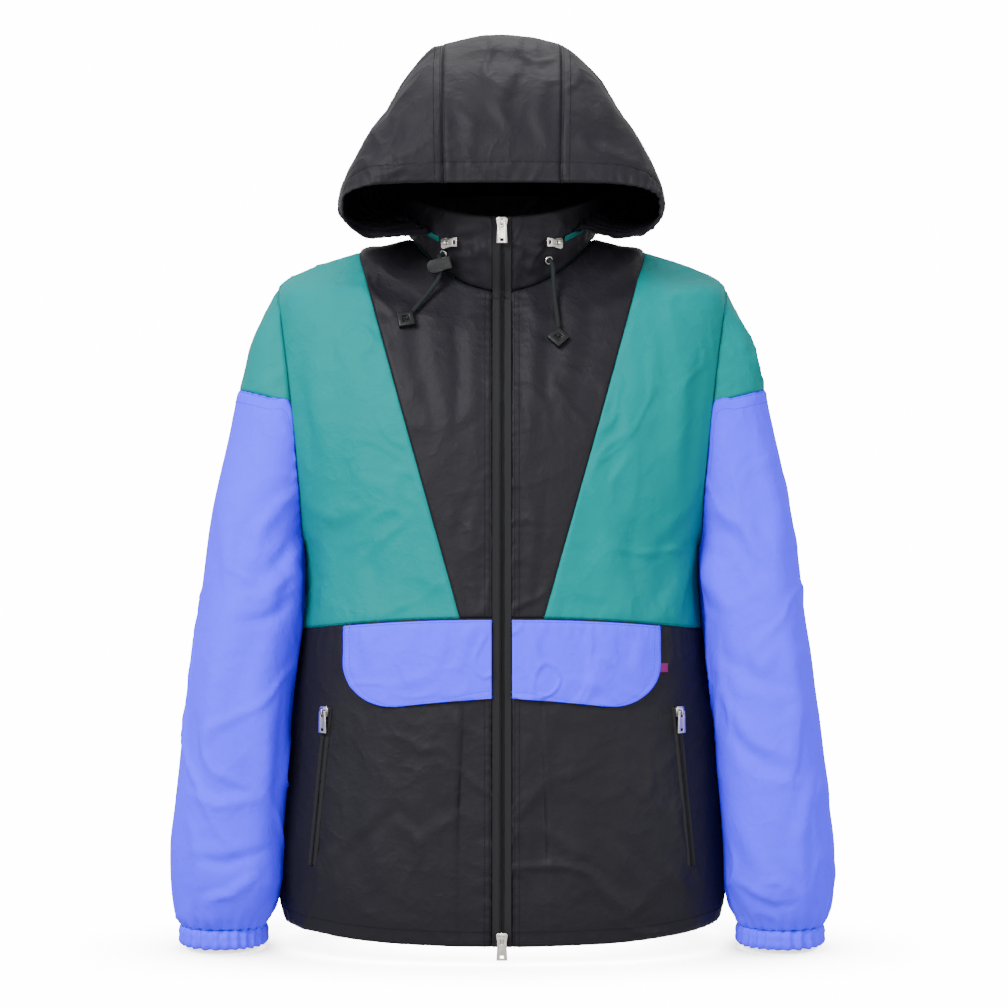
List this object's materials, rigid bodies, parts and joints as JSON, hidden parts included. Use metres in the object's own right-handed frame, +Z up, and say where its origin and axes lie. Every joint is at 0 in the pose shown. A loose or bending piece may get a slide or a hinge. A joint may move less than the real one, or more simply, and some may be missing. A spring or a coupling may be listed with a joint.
{
  "type": "windbreaker jacket",
  "caption": "Hooded colour-blocked nylon windbreaker with a full-length two-way zip, stand collar, three-panel hood, pocket flaps and elasticated cuffs",
  "frame": {"origin": "inside the neck between the shoulders, on the centre plane, where the wearer carries the jacket", "axes": "+Z up along the wearer, -Y out of the front, +X to the wearer's left"},
  "size_m": [0.6492, 0.3004, 0.8965],
  "materials": {
    "black_nylon": "crisp woven nylon, soft sheen, fine crinkles",
    "teal_nylon": "crisp woven nylon, soft sheen, fine crinkles",
    "violet_nylon": "crisp woven nylon, soft sheen, fine crinkles",
    "plum_label": "plain woven tab",
    "black_tape": "woven zip tape with a moulded chain",
    "teal_tape": "woven zip tape with a moulded chain",
    "nickel": "nickel-plated die casting, satin",
    "black_plastic": "moulded plastic, fine grain",
    "dark_cord": "braided polyester cord"
  },
  "bodies": {
    "jacket": {"back_lower": "black_nylon", "back_upper": "teal_nylon", "collar": "black_nylon", "cord_end_left": "black_plastic", "cord_end_right": "black_plastic", "cord_left": "dark_cord", "cord_lock": "black_plastic", "cord_right": "dark_cord", "cuff_left": "violet_nylon", "cuff_right": "violet_nylon", "eyelet_left": "nickel", "eyelet_right": "nickel", "flap_left": "violet_nylon", "flap_right": "violet_nylon", "front_centre_left": "black_nylon", "front_centre_right": "black_nylon", "front_chest_left": "teal_nylon", "front_chest_right": "teal_nylon", "front_lower_left": "black_nylon", "front_lower_right": "black_nylon", "hood_centre": "black_nylon", "hood_side_left": "black_nylon", "hood_side_right": "black_nylon", "hood_slider_left": "nickel", "hood_slider_right": "nickel", "hood_zip": "teal_tape", "pocket_slider_left": "nickel", "pocket_slider_right": "nickel", "pocket_zip_left": "black_tape", "pocket_zip_right": "black_tape", "side_tab": "plum_label", "sleeve_cap_left": "teal_nylon", "sleeve_cap_right": "teal_nylon", "sleeve_left": "violet_nylon", "sleeve_right": "violet_nylon", "zip_chain": "black_tape", "zip_slider_bottom": "nickel", "zip_slider_top": "nickel", "zip_tape_left": "black_tape", "zip_tape_right": "black_tape"},
    "b_zip_pull_top": {"zip_pull_top": "nickel"},
    "b_zip_pull_bottom": {"zip_pull_bottom": "nickel"},
    "b_pocket_pull_left": {"pocket_pull_left": "nickel"},
    "b_pocket_pull_right": {"pocket_pull_right": "nickel"},
    "b_hood_pull_left": {"hood_pull_left": "nickel"},
    "b_hood_pull_right": {"hood_pull_right": "nickel"}
  },
  "joints": [
    {"name": "zip_pull_top_swing", "type": "hinge", "parent": "jacket", "child": "b_zip_pull_top", "pos_m": [0, -0.10416, 0.01], "axis": [-1, 0, 0], "range_deg": [0, 120]},
    {"name": "zip_pull_bottom_swing", "type": "hinge", "parent": "jacket", "child": "b_zip_pull_bottom", "pos_m": [0, -0.15476, -0.67], "axis": [-1, 0, 0], "range_deg": [0, 120]},
    {"name": "pocket_pull_left_swing", "type": "hinge", "parent": "jacket", "child": "b_pocket_pull_left", "pos_m": [0.17214, -0.10856, -0.46], "axis": [-0.7606, -0.6492, 0], "range_deg": [0, 120]},
    {"name": "pocket_pull_right_swing", "type": "hinge", "parent": "jacket", "child": "b_pocket_pull_right", "pos_m": [-0.17214, -0.10856, -0.46], "axis": [-0.7606, 0.6492, 0], "range_deg": [0, 120]},
    {"name": "hood_pull_left_swing", "type": "hinge", "parent": "jacket", "child": "b_hood_pull_left", "pos_m": [0.0561, -0.08443, -0.0085], "axis": [0, 0, 1], "range_deg": [0, 120]},
    {"name": "hood_pull_right_swing", "type": "hinge", "parent": "jacket", "child": "b_hood_pull_right", "pos_m": [-0.0561, -0.08443, -0.0085], "axis": [0, 0, -1], "range_deg": [0, 120]}
  ]
}
